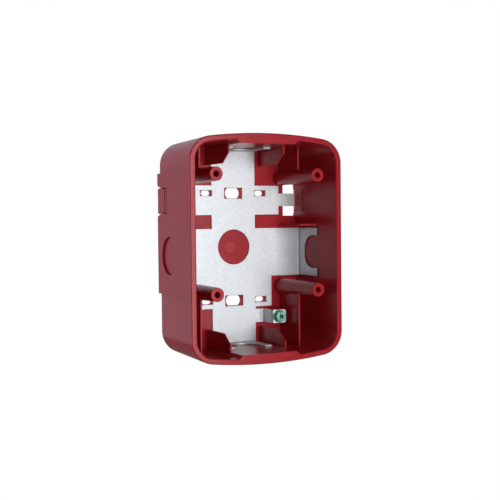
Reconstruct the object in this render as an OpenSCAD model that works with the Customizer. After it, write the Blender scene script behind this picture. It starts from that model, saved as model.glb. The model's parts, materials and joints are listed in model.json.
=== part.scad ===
// Surface-mount back box for a wall horn strobe: moulded plastic box, steel grounding
// bracket on its floor, ground screw with washer, and knockouts for conduit and raceway.
// +X right, +Z up. The back face lies on the wall at y = 0 and the box opens towards -Y.
// A "depth" is a distance forward from the wall, so depth d is at y = -d.

/* [Box] */
// Overall width, at the front rim
box_w = 124; // [116:0.5:132]
// Overall height, at the middle of the crowned ends
box_h = 166.8; // [164:0.2:180]
// Overall depth, from the wall to the rim
box_d = 61.7; // [56:0.1:75]
// Radius of the four corners
corner_r = 17.5; // [15:0.5:20]
// Radius of the crown along the top and bottom edges
crown_r = 340; // [250:10:600]
// How much each side wall leans in from rim to back
side_draft = 2.8; // [2.4:0.1:3]
// How much the top and bottom walls lean in from rim to back
end_draft = 1.2; // [0:0.1:1.6]
// Width of the rim's front face
rim_w = 4.4; // [4:0.1:5]
// Thickness of the floor
floor_t = 2.8; // [2.4:0.1:3.4]
// Rounding of the rim's outer edge
rim_round = 1; // [0.6:0.1:1.4]

/* [Mounting pattern] */
// Distance between the upper and lower mounting slots
gang_pitch = 83.34; // [83.34]
// Distance between the left and right pairs of small slots
gang_spread = 46; // [46]
// Distance across the device posts
post_spread = 83.1; // [82:0.1:84]
// Height of the upper posts above the slot centre line
post_top_z = 53.75; // [53:0.05:55]
// Height of the lower posts below the slot centre line
post_low_z = -31.5; // [-33:0.1:-31]
// Radius of the screw hole in each post
post_bore_r = 2; // [1.6:0.1:2.2]

/* [Knockouts] */
// Radius of the round conduit knockouts
ko_r = 14.07; // [13.6:0.01:14.07]
// Depth of the side knockouts' centres
ko_depth = 22.3; // [22:0.1:23]
// Height of the side knockouts' centres
ko_z = -4.8; // [-5.4:0.1:-4.4]
// Lower end of the raceway knockouts
raceway_z1 = 26.1; // [25:0.1:28]
// Upper end of the raceway knockouts
raceway_z2 = 45.2; // [43:0.1:46]
// Depth of the smaller raceway
raceway_small_d = 14.4; // [13:0.1:15]
// Depth of the larger raceway
raceway_large_d = 18.7; // [18:0.1:20]

/* [Bracket] */
// Thickness of the steel
steel_t = 1.2; // [1:0.1:1.6]
// Half width of the upright strip
strip_hw = 18.7; // [17:0.1:19]
// Half length of the upper arms
upper_arm_x = 40; // [38:0.5:41]
// Half length of the lower arms
lower_arm_x = 33; // [30:0.5:34]
// Depth of the front edge of the side tabs
side_tab_d = 32.6; // [31:0.1:34]
// Depth of the front edge of the top and bottom tabs
end_tab_d = 30.5; // [28:0.1:32]

/* [Ground screw] */
// Distance of the ground screw right of the centre line
screw_x = 31.5; // [31:0.1:32]
// Height of the ground screw
screw_z = -54.4; // [-54.8:0.1:-54]
// Depth of the raised tab's front face
ground_tab_d = 18.4; // [17:0.1:20]
// Thread pitch
thread_pitch = 0.794; // [0.7:0.001:0.8]
// Outer radius of the thread
thread_r = 2.4; // [2.3:0.01:2.4]
// Length of the threaded shank behind the washer
screw_len = 9.5; // [6:0.5:11]

/* [Hidden] */

red = [0.63, 0.13, 0.18];
steel = [0.80, 0.82, 0.83];
green = [0.52, 0.77, 0.66];
eps = 0.01;
far = 100;
gap = 0.05;

// Outline and walls
rim_hw = box_w / 2;
rim_hh = box_h / 2;
back_hw = rim_hw - side_draft;
back_hh = rim_hh - end_draft;
inner_rim_hw = rim_hw - rim_w;
inner_rim_hh = rim_hh - 4.1;
inner_back_hw = back_hw - 3.5;
inner_back_hh = back_hh - 3.8;
inner_corner_r = corner_r - rim_w;
rim_steps = 4;
lap = 0.02;
mouth_chamfer = 0.7;
edge_break = 0.3;
root = 1;
over = 1;
cavity_d = box_d - floor_t;
cavity_cut_d = cavity_d + over;
inner_end_hw = inner_back_hw + (inner_rim_hw - inner_back_hw) * cavity_cut_d / cavity_d;
inner_end_hh = inner_back_hh + (inner_rim_hh - inner_back_hh) * cavity_cut_d / cavity_d;

// Raised panel on each side wall
panel_z1 = -33.4;
panel_z2 = 56.1;
panel_back_x = rim_hw - 0.55;
panel_front_x = rim_hw - 0.1;

// Thick land at the middle of the top and bottom walls
land_z = 75.8;
land_hx = 25.2;
land_bevel = 3;

// Wall pockets that the bracket's side tabs snap into
pocket_x = 59.5;
pocket_z1 = -25;
pocket_z2 = 15.5;
pocket_d = 37;

// Posts and ribs
post_r_root = 5.95;
post_r_tip = 5.1;
post_flare = 0.4;
post_bore_d = 22;
post_tip_d = box_d - 0.3;
bore_chamfer = 0.6;
post_rib_t = 1.6;
post_rib_d = 33;
gusset_x = 23;
gusset_t = 1.5;
gusset_z = 62.8;
gusset_d = 32.8;
gusset_front_d = 43.8;
gusset_front_z = 70.4;
shelf_x = 41;
shelf_z = 16.8;
shelf_t = 1.5;
shelf_d = 36;
shelf_wall_d = 41.5;
wall_reach = 57.2;
raceway_x = inner_back_hw - 0.15;

// Holes in the floor
big_slot_hl = 6.6;
big_slot_hh = 4;
big_slot_end_r = 5;
small_slot_r = 2.1;
small_slot_len = 8.2;
window_x1 = 44.5;
window_x2 = inner_back_hw - 0.05;
window_z1 = 23.9;
window_z2 = 48.7;
window_r = 0.6;
notch_w = 2;
notch_d = 6;

// Knockout webs
ko_skin = 0.6;
ko_rib_r = 11.6;
end_ko_depth = 21.5;
end_ko_skin = 1.6;
rear_ko_skin = 1.4;
ko_groove = 0.8;
mark_r = 4.8;
mark_d = 0.15;
mark_x = -2.8;

// Bracket
floor_face = floor_t;
steel_face = floor_t + steel_t;
bend_r = 1;
side_tab_x = pocket_x - 0.1;
side_tab_z1 = -23.6;
side_tab_z2 = 14.3;
end_tab_z = land_z - 0.15;
centre_hole_r = 13.56;
notch_r = 13;
notch_side_depth = 25;
notch_end_depth = 22.5;
big_win_hx = 7.8;
big_win_hz = 4.23;
small_win_x1 = 18.2;
small_win_x2 = 28.3;
small_win_hz = 2.3;
upper_arm_z1 = 24.9;
upper_arm_z2 = 47.6;
tongue_x = 54.6;
tongue_z1 = 31.5;
tongue_z2 = 41.5;
lower_arm_z = -47.3;
ground_tab_z1 = -59.7;
ground_tab_z2 = -49.2;
riser_x = 25.6;
ground_tab_x = 38;
tab_corner_r = 2;
tap_r = thread_r + gap;

// Ground screw and washer
washer_r = 5;
washer_t = 0.8;
washer_hole_r = thread_r + 0.06;
head_r = 4.1;
head_h = 3.6;
head_round = 0.5;
cross_w = 1.1;
cross_l = 4.2;
cross_d = 2.2;
thread_depth = 0.45;

// Draws a plate from a front-view outline: x to X, y to Z, from depth d forward by t
module plate(d, t)
    translate([0, -d, 0]) rotate([90, 0, 0]) linear_extrude(t) children();

// The same, scaled about the origin from depth d to depth d + t
module drafted(d, t, grow)
    translate([0, -d, 0]) rotate([90, 0, 0]) linear_extrude(t, scale = grow, slices = 1) children();

// Draws a bar along X from x1 to x2, from an outline in (depth, height)
module along_x(x1, x2)
    translate([x1, 0, 0]) rotate([90, 0, 90]) linear_extrude(x2 - x1)
        mirror([1, 0]) children();

// Draws a bar along Z from z1 to z2, from an outline in (x, depth)
module along_z(z1, z2)
    translate([0, 0, z1]) linear_extrude(z2 - z1) mirror([0, 1]) children();

// Cross-section of a plate of thickness t centred on mid, from the floor to depth d, with
// its front edges broken, in (mid, depth)
module plate_section(mid, t, d)
    polygon([[mid - t / 2, floor_t - root], [mid - t / 2, d - edge_break],
             [mid - t / 2 + edge_break, d], [mid + t / 2 - edge_break, d],
             [mid + t / 2, d - edge_break], [mid + t / 2, floor_t - root]]);

module both_sides() {
    children();
    mirror([1, 0, 0]) children();
}

module both_ends() {
    children();
    mirror([0, 0, 1]) children();
}

// Rounded rectangle with crowned ends
module outline(hw, hh, r)
    offset(r = r, $fn = 72) offset(delta = -r) intersection() {
        square([2 * hw, 2 * hh], center = true);
        translate([0, hh - crown_r]) circle(crown_r, $fn = 360);
        translate([0, crown_r - hh]) circle(crown_r, $fn = 360);
    }

// Outside outline near the rim, drawn in from its full size
module rim_outline(inset)
    scale([(rim_hw - inset) / back_hw, (rim_hh - inset) / back_hh])
        outline(back_hw, back_hh, corner_r);

module slot(length, r) {
    square([length - 2 * r, 2 * r], center = true);
    for (side = [-1, 1]) translate([side * (length / 2 - r), 0]) circle(r, $fn = 48);
}

// Mounting slot with shallow curved ends
module big_slot() intersection() {
    square([2 * big_slot_hl, 2 * big_slot_hh], center = true);
    union() {
        square([2 * (big_slot_hl - big_slot_end_r), 2 * big_slot_hh + 2], center = true);
        for (side = [-1, 1])
            translate([side * (big_slot_hl - big_slot_end_r), 0])
                circle(big_slot_end_r, $fn = 64);
    }
}

module rounded_rect(x1, z1, x2, z2, r) {
    translate([x1 + r, z1]) square([x2 - x1 - 2 * r, z2 - z1]);
    translate([x1, z1 + r]) square([x2 - x1, z2 - z1 - 2 * r]);
    for (x = [x1 + r, x2 - r], z = [z1 + r, z2 - r]) translate([x, z]) circle(r, $fn = 32);
}

// Solid outside shape of the box, with its rounded rim
module outside() {
    body_d = box_d - rim_round;
    drafted(0, body_d, [rim_hw / back_hw, rim_hh / back_hh])
        outline(back_hw, back_hh, corner_r);
    for (i = [0:rim_steps - 1]) {
        a1 = 90 * i / rim_steps;
        a2 = 90 * (i + 1) / rim_steps;
        in1 = rim_round * (1 - cos(a1));
        in2 = rim_round * (1 - cos(a2));
        drafted(body_d + rim_round * sin(a1) - lap, rim_round * (sin(a2) - sin(a1)) + lap,
                [(rim_hw - in2) / (rim_hw - in1), (rim_hh - in2) / (rim_hh - in1)])
            rim_outline(in1);
    }
    both_sides() side_panel();
}

// Raised panel that carries the side knockouts and runs out near the rim
module side_panel()
    along_z(panel_z1, panel_z2) polygon([
        [back_hw - 1, 0], [panel_back_x, 0], [panel_front_x, box_d - 2 * rim_round],
        [back_hw, box_d - 2 * rim_round]]);

module land_outline()
    polygon([[-land_hx, land_z + land_bevel], [-land_hx + land_bevel, land_z],
             [land_hx - land_bevel, land_z], [land_hx, land_z + land_bevel],
             [land_hx, far], [-land_hx, far]]);

// Space inside the walls, without the two lands
module inside() {
    drafted(floor_t, cavity_cut_d, [inner_end_hw / inner_back_hw, inner_end_hh / inner_back_hh])
        outline(inner_back_hw, inner_back_hh, inner_corner_r);
    drafted(box_d - mouth_chamfer - 0.1, mouth_chamfer + over,
            [1 + (mouth_chamfer + over) / inner_rim_hw, 1 + (mouth_chamfer + over) / inner_rim_hh])
        outline(inner_rim_hw - 0.1, inner_rim_hh - 0.1, inner_corner_r);
}

module post() rotate([90, 0, 0]) rotate_extrude($fn = 64) polygon([
    [0, floor_t - eps], [post_r_root + post_flare, floor_t - eps],
    [post_r_root, floor_t + post_flare], [post_r_tip, post_tip_d - edge_break],
    [post_r_tip - edge_break, post_tip_d], [0, post_tip_d]]);

module post_hole() {
    rotate([90, 0, 0]) {
        translate([0, 0, post_tip_d - post_bore_d])
            cylinder(h = post_bore_d + 1, r = post_bore_r, $fn = 48);
        translate([0, 0, post_tip_d - bore_chamfer])
            cylinder(h = bore_chamfer + eps, r1 = post_bore_r,
                     r2 = post_bore_r + bore_chamfer, $fn = 48);
    }
}

module at_posts()
    for (x = [-post_spread / 2, post_spread / 2], z = [post_low_z, post_top_z])
        translate([x, 0, z]) children();

// Upright plates that tie each post to the end wall nearest to it
module post_ribs() {
    x = post_spread / 2;
    wall_z = inner_back_hh - 1.5;
    both_sides() {
        along_z(post_top_z, wall_z) plate_section(x, post_rib_t, post_rib_d);
        along_z(-wall_z, post_low_z) plate_section(x, post_rib_t, post_rib_d);
    }
}

// Cut-cornered plates beside the bracket's top and bottom tabs
module gusset_outline()
    polygon([[floor_t - root, gusset_z], [gusset_d, gusset_z],
             [gusset_front_d, gusset_front_z], [gusset_front_d, land_z + root],
             [floor_t - root, land_z + root]]);

module gusset() hull() {
    along_x(gusset_x - gusset_t / 2, gusset_x + gusset_t / 2)
        offset(delta = -edge_break) gusset_outline();
    along_x(gusset_x - gusset_t / 2 + edge_break, gusset_x + gusset_t / 2 - edge_break)
        gusset_outline();
}

// Shelf above each side tab, with a small brace in front against the wall
module shelf() {
    along_x(shelf_x, wall_reach) mirror([1, -1]) plate_section(shelf_z, shelf_t, shelf_d);
    along_z(shelf_z - shelf_t / 2, shelf_z + shelf_t / 2)
        polygon([[wall_reach - 2, shelf_d - root], [wall_reach - 2, shelf_d],
                 [wall_reach, shelf_wall_d], [wall_reach + 0.8, shelf_wall_d],
                 [wall_reach + 0.8, shelf_d - root]]);
}

module raceway_opening()
    translate([raceway_x, -raceway_large_d, raceway_z1])
        cube([10, raceway_large_d + 1, raceway_z2 - raceway_z1]);

// V-shaped notch in the back edge, beside each end of the raceway knockout
module raceway_notches() {
    wide = notch_w * (1 + 1 / notch_d);
    along_x(raceway_x + notch_w, rim_hw + 1) {
        polygon([[-1, raceway_z2 - 1], [-1, raceway_z2 + wide], [notch_d, raceway_z2],
                 [notch_d - 1, raceway_z2 - 1]]);
        polygon([[-1, raceway_z1 + 1], [-1, raceway_z1 - wide], [notch_d, raceway_z1],
                 [notch_d - 1, raceway_z1 + 1]]);
    }
}

module side_hole() translate([pocket_x - 2, -ko_depth, ko_z]) rotate([0, 90, 0])
    cylinder(h = 10, r = ko_r, $fn = 96);

module end_hole() translate([0, -end_ko_depth, land_z - 2])
    cylinder(h = 20, r = ko_r, $fn = 96);

module floor_holes() {
    plate(-1, floor_t + 2) {
        for (z = [-gang_pitch / 2, gang_pitch / 2]) {
            translate([0, z]) big_slot();
            for (x = [-gang_spread / 2, gang_spread / 2])
                translate([x, z]) slot(small_slot_len, small_slot_r);
        }
        circle(ko_r, $fn = 96);
        for (side = [0, 1]) mirror([side, 0])
            rounded_rect(window_x1, window_z1, window_x2, window_z2, window_r);
    }
}

module box_shell() color(red) difference() {
    union() {
        difference() {
            outside();
            difference() {
                inside();
                both_ends() plate(-1, box_d + 2) land_outline();
            }
            floor_holes();
        }
        at_posts() post();
        post_ribs();
        both_ends() both_sides() gusset();
        both_sides() shelf();
    }
    at_posts() post_hole();
    both_sides() {
        translate([inner_back_hw - 3, -pocket_d, pocket_z1])
            cube([pocket_x - inner_back_hw + 3, pocket_d - floor_t, pocket_z2 - pocket_z1]);
        side_hole();
        raceway_opening();
        raceway_notches();
    }
    both_ends() end_hole();
}

// Quarter bend whose outside corner is at the origin, opening towards +x and +y
module bend() {
    outer = bend_r + steel_t;
    intersection() {
        square(outer);
        translate([outer, outer]) difference() {
            circle(outer, $fn = 64);
            circle(bend_r, $fn = 64);
        }
    }
}

bend_size = bend_r + steel_t;

// Tab outline in (position, depth): a bend from the flat, then straight forward to depth d
module tab_profile(outer, d)
    translate([outer, floor_face]) mirror([1, 0]) {
        bend();
        translate([0, bend_size]) square([steel_t, d - floor_face - bend_size]);
    }

module bracket_flat() difference() {
    union() {
        square([2 * strip_hw, 2 * (end_tab_z - bend_size)], center = true);
        translate([-(side_tab_x - bend_size), side_tab_z1])
            square([2 * (side_tab_x - bend_size), side_tab_z2 - side_tab_z1]);
        translate([-upper_arm_x, upper_arm_z1])
            square([2 * upper_arm_x, upper_arm_z2 - upper_arm_z1]);
        translate([-tongue_x, tongue_z1]) square([2 * tongue_x, tongue_z2 - tongue_z1]);
        translate([-lower_arm_x, lower_arm_z])
            square([2 * lower_arm_x, side_tab_z1 - lower_arm_z + 1]);
        translate([0, ground_tab_z1])
            square([riser_x + steel_t - bend_size, ground_tab_z2 - ground_tab_z1]);
    }
    circle(centre_hole_r, $fn = 96);
    for (z = [-gang_pitch / 2, gang_pitch / 2]) {
        translate([0, z]) square([2 * big_win_hx, 2 * big_win_hz], center = true);
        for (side = [0, 1]) mirror([side, 0])
            translate([small_win_x1, z - small_win_hz])
                square([small_win_x2 - small_win_x1, 2 * small_win_hz]);
    }
}

module side_tab() difference() {
    along_z(side_tab_z1, side_tab_z2) tab_profile(side_tab_x, side_tab_d);
    translate([side_tab_x - 4, 0, ko_z + 0.3]) {
        translate([0, -notch_side_depth, 0]) rotate([0, 90, 0])
            cylinder(h = 8, r = notch_r, $fn = 96);
        translate([0, -side_tab_d - 1, -notch_r])
            cube([8, side_tab_d + 1 - notch_side_depth, 2 * notch_r]);
    }
}

module end_tab() difference() {
    along_x(-strip_hw, strip_hw) mirror([1, -1]) tab_profile(end_tab_z, end_tab_d);
    translate([0, -notch_end_depth, end_tab_z - 4]) cylinder(h = 8, r = notch_r, $fn = 96);
    translate([-notch_r, -end_tab_d - 1, end_tab_z - 4])
        cube([2 * notch_r, end_tab_d + 1 - notch_end_depth, 8]);
}

// Step that carries the ground screw: riser, bend and a flat with rounded corners
module ground_tab() {
    top = ground_tab_d - steel_t;
    along_z(ground_tab_z1, ground_tab_z2) {
        translate([riser_x + steel_t, floor_face]) mirror([1, 0]) bend();
        translate([riser_x, floor_face + bend_size])
            square([steel_t, top - floor_face - 2 * bend_r - steel_t]);
        translate([riser_x, ground_tab_d]) mirror([0, 1]) bend();
    }
    difference() {
        plate(top, steel_t) {
            translate([riser_x + bend_size, ground_tab_z1])
                square([ground_tab_x - tab_corner_r - riser_x - bend_size,
                        ground_tab_z2 - ground_tab_z1]);
            rounded_rect(riser_x + bend_size + 1, ground_tab_z1, ground_tab_x,
                         ground_tab_z2, tab_corner_r);
        }
        translate([screw_x, 0, screw_z]) rotate([90, 0, 0])
            cylinder(h = far, r = tap_r, $fn = 64);
    }
}

module ground_bracket() color(steel) {
    plate(floor_face, steel_t) bracket_flat();
    both_sides() side_tab();
    both_ends() end_tab();
    ground_tab();
}

module at_screw(d) translate([screw_x, -d, screw_z]) rotate([90, 0, 0]) children();

module ground_screw() color(green) {
    seat = ground_tab_d + washer_t;
    threads = floor(screw_len / thread_pitch);
    at_screw(seat) difference() {
        rotate_extrude($fn = 96) {
            square([head_r - head_round, head_h]);
            translate([0, -lap]) square([thread_r - thread_depth - lap, 2 * lap]);
            square([head_r, head_h - head_round]);
            translate([head_r - head_round, head_h - head_round]) circle(head_round, $fn = 48);
        }
        for (a = [45, 135]) rotate([0, 0, a])
            translate([-cross_l / 2, -cross_w / 2, head_h - cross_d])
                cube([cross_l, cross_w, cross_d + 1]);
    }
    at_screw(seat - screw_len) rotate_extrude($fn = 64) polygon(concat(
        [[0, 0], [thread_r - thread_depth - 0.5, 0]],
        [for (i = [0:threads - 2]) each [
            [thread_r - thread_depth, (i + 0.55) * thread_pitch],
            [thread_r, (i + 0.95) * thread_pitch],
            [thread_r, (i + 1.05) * thread_pitch]]],
        [[thread_r - thread_depth, (threads - 0.45) * thread_pitch],
         [thread_r - thread_depth, screw_len], [0, screw_len]]));
}

module ground_screw_washer() color(green)
    at_screw(ground_tab_d) difference() {
        cylinder(h = washer_t, r = washer_r, $fn = 96);
        translate([0, 0, -1]) cylinder(h = washer_t + 2, r = washer_hole_r, $fn = 64);
    }

// Disc with a thin edge that breaks out, a groove behind it and a round ejector mark in front
module rear_knockout() color(red) rotate([90, 0, 0]) difference() {
    union() {
        cylinder(h = floor_t, r1 = ko_rib_r, r2 = ko_rib_r + floor_t - rear_ko_skin, $fn = 96);
        translate([0, 0, floor_t - rear_ko_skin])
            cylinder(h = rear_ko_skin, r = ko_r - gap, $fn = 96);
    }
    translate([mark_x, 0, floor_t - mark_d])
        cylinder(h = 1, r1 = mark_r - mark_d, r2 = mark_r + 1 - mark_d, $fn = 64);
}

module right_knockout() color(red)
    translate([pocket_x + 0.02, -ko_depth, ko_z]) rotate([0, 90, 0])
        cylinder(h = ko_skin, r = ko_r - gap, $fn = 96);

module left_knockout() mirror([1, 0, 0]) right_knockout();

module top_knockout() color(red)
    translate([0, -end_ko_depth, land_z]) cylinder(h = end_ko_skin, r = ko_r - gap, $fn = 96);

module bottom_knockout() mirror([0, 0, 1]) top_knockout();

// Inner face of the side wall at a depth
function wall_x(d) = inner_back_hw + (inner_rim_hw - inner_back_hw) * (d - floor_t) / cavity_d;
function panel_x(d) = panel_back_x + (panel_front_x - panel_back_x) * d / (box_d - 2 * rim_round);

// One piece of the raceway knockout between two depths, grooved along its edges
module raceway_piece(d1, d2) color(red) {
    z1 = raceway_z1 + gap;
    z2 = raceway_z2 - gap;
    g = ko_groove;
    x1 = raceway_x + gap;
    intersection() {
        along_z(z1, z2) polygon([
            [max(x1, wall_x(d1)), d1 + g], [max(x1, wall_x(d1)) + g, d1],
            [panel_x(d1) - g, d1], [panel_x(d1), d1 + g],
            [panel_x(d2), d2 - g], [panel_x(d2) - g, d2],
            [wall_x(d2) + g, d2], [wall_x(d2), d2 - g]]);
        plate(0, far) polygon([
            [x1, z1], [x1, z2], [panel_back_x - g, z2], [panel_back_x + 1, z2 - g - 1],
            [panel_back_x + 1, z1 + g + 1], [panel_back_x - g, z1]]);
    }
}

module right_raceway_knockout() raceway_piece(0, raceway_small_d - gap);
module left_raceway_knockout() mirror([1, 0, 0]) right_raceway_knockout();
module right_raceway_strip() raceway_piece(raceway_small_d + gap, raceway_large_d - gap);
module left_raceway_strip() mirror([1, 0, 0]) right_raceway_strip();

box_shell();
ground_bracket();
ground_screw();
ground_screw_washer();
rear_knockout();
left_knockout();
right_knockout();
top_knockout();
bottom_knockout();
left_raceway_knockout();
left_raceway_strip();
right_raceway_knockout();
right_raceway_strip();
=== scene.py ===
"""Looks for a wall horn strobe's surface back box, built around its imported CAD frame.

Metres throughout. +X is right and +Z up as seen from the front; the box opens towards -Y.
"""
import json
import math

import bpy
from mathutils import Matrix, Vector


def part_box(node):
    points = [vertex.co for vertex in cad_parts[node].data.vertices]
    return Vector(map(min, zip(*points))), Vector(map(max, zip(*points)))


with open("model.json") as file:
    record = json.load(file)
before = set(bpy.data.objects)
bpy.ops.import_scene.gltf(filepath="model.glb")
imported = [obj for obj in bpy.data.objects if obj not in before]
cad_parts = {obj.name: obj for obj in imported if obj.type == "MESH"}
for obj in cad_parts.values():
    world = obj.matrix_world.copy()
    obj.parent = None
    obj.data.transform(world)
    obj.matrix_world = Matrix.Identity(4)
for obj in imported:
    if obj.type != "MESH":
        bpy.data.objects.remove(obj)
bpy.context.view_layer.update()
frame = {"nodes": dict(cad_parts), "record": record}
MM = 0.001


# ---------------------------------------------------------------- camera, world, lights, floor
# The camera stands at the front left, about level with the middle of the box.
CAMERA_AT = Vector((-0.3287, -0.6656, 0.0233))
CAMERA_YAW = math.radians(27.39)
CAMERA_PITCH = math.radians(-2.0)
CAMERA_ROLL = math.radians(-0.58)
CAMERA_LENS = 68.54  # in millimetres, like the sensor
CAMERA_SENSOR = 36.0
CAMERA_NEAR, CAMERA_FAR = 0.01, 20.0

# Name, place, width and height, and power in watts.
SOFTBOXES = (
    ("front_softbox", (0.08, -1.20, 0.03), (0.78, 0.80), 10.2),
    ("side_softbox", (-1.10, 0.60, -0.35), (0.90, 1.60), 9.2),
    ("right_softbox", (1.20, -0.10, 0.20), (0.80, 0.80), 3.0),
)

# The studio's light comes from BACK_SIDE and fades from WORLD_BACK to WORLD_FRONT away from it.
BACK_SIDE = (-0.45, 0.89, 0.0)
WORLD_BACK, WORLD_FRONT = 0.55, 0.02
FADE_START, FADE_END = 0.6, -0.1  # cosines of the angle to BACK_SIDE
COOL_WHITE = (0.95, 0.98, 1.10, 1.0)
PLAIN_WHITE = (1.0, 1.0, 1.0, 1.0)

FLOOR_Z = -0.42
FLOOR_HALF = 1.4
FLOOR_GREY = (0.5, 0.5, 0.5, 1.0)


def add_camera():
    """Looks along CAMERA_YAW and CAMERA_PITCH, rolled about that line by CAMERA_ROLL."""
    cos_p, sin_p = math.cos(CAMERA_PITCH), math.sin(CAMERA_PITCH)
    ahead = Vector((math.sin(CAMERA_YAW) * cos_p, math.cos(CAMERA_YAW) * cos_p, sin_p))
    right = Vector((math.cos(CAMERA_YAW), -math.sin(CAMERA_YAW), 0.0))
    up = right.cross(ahead)
    cos_r, sin_r = math.cos(CAMERA_ROLL), math.sin(CAMERA_ROLL)
    axes = (right * cos_r + up * sin_r, up * cos_r - right * sin_r, -ahead)
    data = bpy.data.cameras.new("camera")
    data.lens = CAMERA_LENS
    data.sensor_width = CAMERA_SENSOR
    data.clip_start = CAMERA_NEAR
    data.clip_end = CAMERA_FAR
    camera = bpy.data.objects.new("camera", data)
    bpy.context.scene.collection.objects.link(camera)
    camera.matrix_world = Matrix.Translation(CAMERA_AT) @ Matrix(axes).transposed().to_4x4()
    bpy.context.scene.camera = camera


def add_softbox(name, at, size, power):
    """A soft rectangular light aimed at the middle of the box, which no camera sees."""
    data = bpy.data.lights.new(name, "AREA")
    data.shape = "RECTANGLE"
    data.size, data.size_y = size
    data.energy = power
    light = bpy.data.objects.new(name, data)
    bpy.context.scene.collection.objects.link(light)
    light.location = at
    light.rotation_euler = (-Vector(at)).to_track_quat("-Z", "Y").to_euler()
    light.visible_camera = False


def end_in(tree, output, lit, seen):
    """Ends a node tree in the shader `seen` for camera rays, and in `lit` for all others."""
    path = tree.nodes.new("ShaderNodeLightPath")
    mix = tree.nodes.new("ShaderNodeMixShader")
    tree.links.new(path.outputs["Is Camera Ray"], mix.inputs["Fac"])
    tree.links.new(lit, mix.inputs[1])
    tree.links.new(seen, mix.inputs[2])
    out = tree.nodes.new(output)
    tree.links.new(mix.outputs["Shader"], out.inputs["Surface"])


def add_world():
    """Pale studio: soft light from the back, little from the front; cameras see it plain white."""
    world = bpy.data.worlds.new("studio")
    bpy.context.scene.world = world
    world.use_nodes = True
    nodes, links = world.node_tree.nodes, world.node_tree.links
    nodes.clear()
    coord = nodes.new("ShaderNodeTexCoord")
    along = nodes.new("ShaderNodeVectorMath")
    along.operation = "DOT_PRODUCT"
    along.inputs[1].default_value = Vector(BACK_SIDE).normalized()
    links.new(coord.outputs["Generated"], along.inputs[0])
    ramp = nodes.new("ShaderNodeMapRange")
    ramp.interpolation_type = "SMOOTHSTEP"
    ramp.inputs["From Min"].default_value = FADE_END
    ramp.inputs["From Max"].default_value = FADE_START
    ramp.inputs["To Min"].default_value = WORLD_FRONT
    ramp.inputs["To Max"].default_value = WORLD_BACK
    links.new(along.outputs["Value"], ramp.inputs["Value"])
    lit = nodes.new("ShaderNodeBackground")
    lit.inputs["Color"].default_value = COOL_WHITE
    links.new(ramp.outputs["Result"], lit.inputs["Strength"])
    seen = nodes.new("ShaderNodeBackground")
    seen.inputs["Color"].default_value = PLAIN_WHITE
    end_in(world.node_tree, "ShaderNodeOutputWorld",
           lit.outputs["Background"], seen.outputs["Background"])


def add_floor():
    """A plain floor well below the box, which cameras see as pale as the backdrop."""
    mesh = bpy.data.meshes.new("studio_floor")
    square = ((-1, -1), (1, -1), (1, 1), (-1, 1))
    corners = [(x * FLOOR_HALF, y * FLOOR_HALF, FLOOR_Z) for x, y in square]
    mesh.from_pydata(corners, [], [(0, 1, 2, 3)])
    floor = bpy.data.objects.new("studio_floor", mesh)
    bpy.context.scene.collection.objects.link(floor)
    mat = bpy.data.materials.new("studio_floor")
    mat.use_nodes = True
    nodes = mat.node_tree.nodes
    nodes.clear()
    matt = nodes.new("ShaderNodeBsdfDiffuse")
    matt.inputs["Color"].default_value = FLOOR_GREY
    pale = nodes.new("ShaderNodeEmission")
    pale.inputs["Color"].default_value = PLAIN_WHITE
    end_in(mat.node_tree, "ShaderNodeOutputMaterial",
           matt.outputs["BSDF"], pale.outputs["Emission"])
    floor.data.materials.append(mat)


# ---------------------------------------------------------------- materials
PLASTIC_DEEP = (0.385, 0.0145, 0.0225)
PLASTIC_BRIGHT = (0.435, 0.0175, 0.0275)
PLASTIC_SCUFFED = (0.46, 0.035, 0.05)
PLASTIC_MARKED = (0.52, 0.055, 0.07)

ZINC_DARK = (0.53, 0.56, 0.59)
ZINC_LIGHT = (0.80, 0.83, 0.86)
ZINC_PATCH = (0.62, 0.65, 0.68)

GREEN_PLATED = (0.16, 0.44, 0.32)
GREEN_WORN = (0.36, 0.66, 0.54)
# The next two colours are painted shade: darker over the screw head's flanks, and near-black down in
# its cross.
GREEN_FLANK_SHADE = (0.05, 0.20, 0.13)
GREEN_CROSS_SHADE = (0.006, 0.025, 0.018)

MIX_A, MIX_B, MIX_RESULT = 6, 7, 2  # a Mix node's colour sockets, by their order
EDGE_SAMPLES = 6


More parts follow.
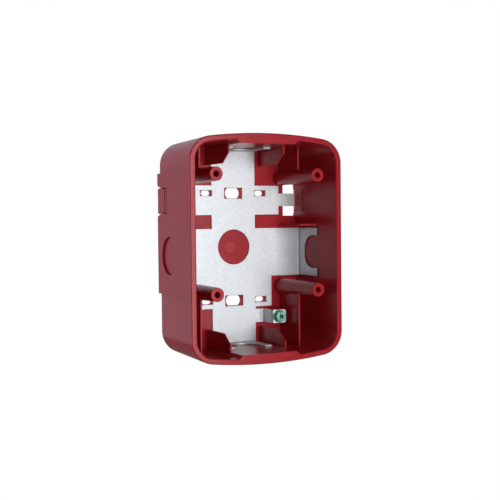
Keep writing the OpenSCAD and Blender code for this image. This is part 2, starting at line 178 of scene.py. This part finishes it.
class Shader:
    """A material under construction: a Principled shader with helpers for procedural inputs."""

    def __init__(self, name):
        self.material = bpy.data.materials.new(name)
        self.material.use_nodes = True
        self.nodes = self.material.node_tree.nodes
        self.links = self.material.node_tree.links
        self.bsdf = self.nodes["Principled BSDF"]
        self.coord = self.nodes.new("ShaderNodeTexCoord").outputs["Object"]

    def set(self, socket, value):
        """Sets one of the shader's own inputs to a plain value."""
        self.bsdf.inputs[socket].default_value = value

    def feed(self, socket, source):
        """Links a socket to one of the shader's own inputs."""
        self.links.new(source, self.bsdf.inputs[socket])

    def noise(self, size, detail=3.0, rough=0.55, stretch=(1.0, 1.0, 1.0)):
        """Noise whose features are about `size` metres across."""
        mapping = self.nodes.new("ShaderNodeMapping")
        mapping.inputs["Scale"].default_value = stretch
        self.links.new(self.coord, mapping.inputs["Vector"])
        node = self.nodes.new("ShaderNodeTexNoise")
        node.inputs["Scale"].default_value = 1.0 / size
        node.inputs["Detail"].default_value = detail
        node.inputs["Roughness"].default_value = rough
        self.links.new(mapping.outputs["Vector"], node.inputs["Vector"])
        return node.outputs["Fac"]

    def cells(self, size):
        """Random colours in cells about `size` metres across."""
        node = self.nodes.new("ShaderNodeTexVoronoi")
        node.inputs["Scale"].default_value = 1.0 / size
        self.links.new(self.coord, node.inputs["Vector"])
        return node.outputs["Color"]

    def along(self, axis):
        """The position along X, Y or Z, in metres."""
        node = self.nodes.new("ShaderNodeSeparateXYZ")
        self.links.new(self.coord, node.inputs["Vector"])
        return node.outputs[axis]

    def distance(self, centre):
        """The distance in the XZ plane from a point, in metres."""
        flat = self.nodes.new("ShaderNodeVectorMath")
        flat.operation = "MULTIPLY"
        flat.inputs[1].default_value = (1.0, 0.0, 1.0)
        self.links.new(self.coord, flat.inputs[0])
        node = self.nodes.new("ShaderNodeVectorMath")
        node.operation = "DISTANCE"
        node.inputs[1].default_value = (centre[0], 0.0, centre[2])
        self.links.new(flat.outputs["Vector"], node.inputs[0])
        return node.outputs["Value"]

    def product(self, a, b):
        """Multiplies two values."""
        node = self.nodes.new("ShaderNodeMath")
        node.operation = "MULTIPLY"
        self.links.new(a, node.inputs[0])
        self.links.new(b, node.inputs[1])
        return node.outputs["Value"]

    def fit(self, source, from_lo, from_hi, to_lo, to_hi):
        """Maps a value from one range to another, clamped."""
        node = self.nodes.new("ShaderNodeMapRange")
        node.inputs["From Min"].default_value = from_lo
        node.inputs["From Max"].default_value = from_hi
        node.inputs["To Min"].default_value = to_lo
        node.inputs["To Max"].default_value = to_hi
        self.links.new(source, node.inputs["Value"])
        return node.outputs["Result"]

    def blend(self, factor, colour_a, colour_b):
        """Mixes two colours; each is a tuple or a socket."""
        node = self.nodes.new("ShaderNodeMix")
        node.data_type = "RGBA"
        self.links.new(factor, node.inputs["Factor"])
        for index, colour in ((MIX_A, colour_a), (MIX_B, colour_b)):
            if isinstance(colour, tuple):
                node.inputs[index].default_value = (*colour, 1.0)
            else:
                self.links.new(colour, node.inputs[index])
        return node.outputs[MIX_RESULT]

    def bump(self, layers, edge):
        """Rounds edges by `edge` metres, then adds bumps.

        Each layer is a height socket, a depth in metres and a strength.
        """
        rounded = self.nodes.new("ShaderNodeBevel")
        rounded.samples = EDGE_SAMPLES
        rounded.inputs["Radius"].default_value = edge
        last = rounded.outputs["Normal"]
        for height, depth, strength in layers:
            node = self.nodes.new("ShaderNodeBump")
            node.inputs["Distance"].default_value = depth
            node.inputs["Strength"].default_value = strength
            self.links.new(height, node.inputs["Height"])
            self.links.new(last, node.inputs["Normal"])
            last = node.outputs["Normal"]
        self.feed("Normal", last)


def red_plastic(name, mark=None):
    """Injection-moulded plastic: satin, with faint flow marks, fine grain and light scuffs.

    A mark is the (centre, radius) of a round, paler ejector mark on a face towards -Y.
    """
    s = Shader(name)
    flow = s.noise(34 * MM, detail=2.0, stretch=(1.0, 1.0, 0.35))
    grain = s.noise(0.5 * MM, detail=4.0, rough=0.65)
    scuff = s.noise(5 * MM, detail=5.0, rough=0.75, stretch=(1.0, 0.4, 1.6))
    base = s.blend(s.fit(flow, 0.3, 0.7, 0.0, 1.0), PLASTIC_DEEP, PLASTIC_BRIGHT)
    base = s.blend(s.fit(scuff, 0.6, 0.8, 0.0, 0.08), base, PLASTIC_SCUFFED)
    rough = s.fit(scuff, 0.35, 0.75, 0.21, 0.29)
    if mark:
        centre, radius = mark
        face_y = centre[1]
        inside = s.fit(s.distance(centre), radius * 0.85, radius * 1.02, 0.6, 0.0)
        in_front = s.fit(s.along("Y"), face_y + 0.3 * MM, face_y + 0.4 * MM, 1.0, 0.0)
        base = s.blend(s.product(inside, in_front), base, PLASTIC_MARKED)
    s.feed("Base Color", base)
    s.feed("Roughness", rough)
    s.set("Specular IOR Level", 0.32)
    s.bump([(grain, 0.03 * MM, 0.35), (flow, 0.3 * MM, 0.1)], 0.3 * MM)
    return s.material


def galvanised_steel():
    """Zinc-coated sheet: soft metallic sheen, finely mottled, with a faint spangle."""
    s = Shader("galvanised_steel")
    speck = s.noise(0.6 * MM, detail=3.0, rough=0.7)
    patch = s.noise(9 * MM, detail=3.0)
    crystal = s.cells(2.4 * MM)
    haze = s.noise(2.2 * MM, detail=4.0, rough=0.75)
    base = s.blend(s.fit(speck, 0.32, 0.68, 0.0, 1.0), ZINC_DARK, ZINC_LIGHT)
    base = s.blend(s.fit(patch, 0.35, 0.7, 0.0, 0.35), base, ZINC_PATCH)
    s.feed("Base Color", base)
    s.set("Metallic", 0.88)
    s.feed("Roughness", s.fit(haze, 0.3, 0.7, 0.46, 0.58))
    s.bump([(speck, 0.05 * MM, 0.35), (crystal, 0.02 * MM, 0.2)], 0.15 * MM)
    return s.material


def green_plating(head_top, axis):
    """Green chromate plating, worn brighter on high spots; painted shade in the cross and on the
    head's flanks.

    head_top is the Y of the screw head's top, and axis a point on the screw's axis.
    """
    s = Shader("green_plated_steel")
    wear = s.noise(0.8 * MM, detail=4.0, rough=0.7)
    base = s.blend(s.fit(wear, 0.35, 0.75, 0.0, 1.0), GREEN_PLATED, GREEN_WORN)
    # Painted shade: near-black down in the cross, deeper than the head's top and near the axis.
    below = s.fit(s.along("Y"), head_top + 0.15 * MM, head_top + 0.6 * MM, 0.0, 1.0)
    near = s.fit(s.distance(axis), 2.4 * MM, 2.7 * MM, 1.0, 0.0)
    painted_cross_shade = s.product(below, near)
    # Painted shade: darker going back from the head's top, over the head's flanks and the parts
    # behind it.
    painted_flank_shade = s.fit(s.along("Y"), head_top + 0.3 * MM, head_top + 1.4 * MM, 0.0, 0.55)
    base = s.blend(painted_flank_shade, base, GREEN_FLANK_SHADE)
    s.feed("Base Color", s.blend(painted_cross_shade, base, GREEN_CROSS_SHADE))
    s.set("Metallic", 0.8)
    s.feed("Roughness", s.fit(wear, 0.3, 0.7, 0.24, 0.4))
    s.bump([(wear, 0.02 * MM, 0.4)], 0.1 * MM)
    return s.material


# ---------------------------------------------------------------- CAD nodes
WELD = 0.002 * MM
FLAT = math.radians(0.4)
SHARP = math.radians(28)
EDGES = {
    "ground_bracket": 0.14 * MM,
    "ground_screw": 0.06 * MM,
    "ground_screw_washer": 0.06 * MM,
}
BEVEL_STEPS = 2
LARGE_FACE_WEIGHT = 60

MARK_AT = (-2.8 * MM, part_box("rear_knockout")[0].y, 0.0)
MARK_RADIUS = 4.8 * MM
screw_lo, screw_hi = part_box("ground_screw")
MATERIALS = {
    "red_plastic": red_plastic("red_plastic"),
    "galvanised_steel": galvanised_steel(),
    "green_plated_steel": green_plating(screw_lo.y, (screw_lo + screw_hi) / 2),
}
MARKED = red_plastic("red_plastic_marked", (MARK_AT, MARK_RADIUS))


def clean(obj, edge):
    """Welds a CAD node's faces, bevels its sharp edges by `edge` if any, and smooths its shading."""
    weld = obj.modifiers.new("weld", "WELD")
    weld.merge_threshold = WELD
    if edge:
        flat = obj.modifiers.new("flat", "DECIMATE")
        flat.decimate_type = "DISSOLVE"
        flat.angle_limit = FLAT
        bevel = obj.modifiers.new("bevel", "BEVEL")
        bevel.limit_method = "ANGLE"
        bevel.angle_limit = SHARP
        bevel.width = edge
        bevel.segments = BEVEL_STEPS
        bevel.harden_normals = True
    else:
        split = obj.modifiers.new("split", "EDGE_SPLIT")
        split.split_angle = SHARP
    shade = obj.modifiers.new("shade", "WEIGHTED_NORMAL")
    shade.mode = "FACE_AREA"
    shade.weight = LARGE_FACE_WEIGHT


def finish_nodes():
    """Gives every CAD node its material and its clean edges."""
    for entry in frame["record"]["subparts"]:
        node, slot = entry["node"], entry["material_slot"]
        obj = frame["nodes"][node]
        obj.data.materials.clear()
        obj.data.materials.append(MARKED if node == "rear_knockout" else MATERIALS[slot])
        clean(obj, EDGES.get(node, 0))


# ---------------------------------------------------------------- the scene
add_camera()
add_world()
for softbox in SOFTBOXES:
    add_softbox(*softbox)
add_floor()
finish_nodes()
bpy.context.scene.view_settings.view_transform = "Standard"
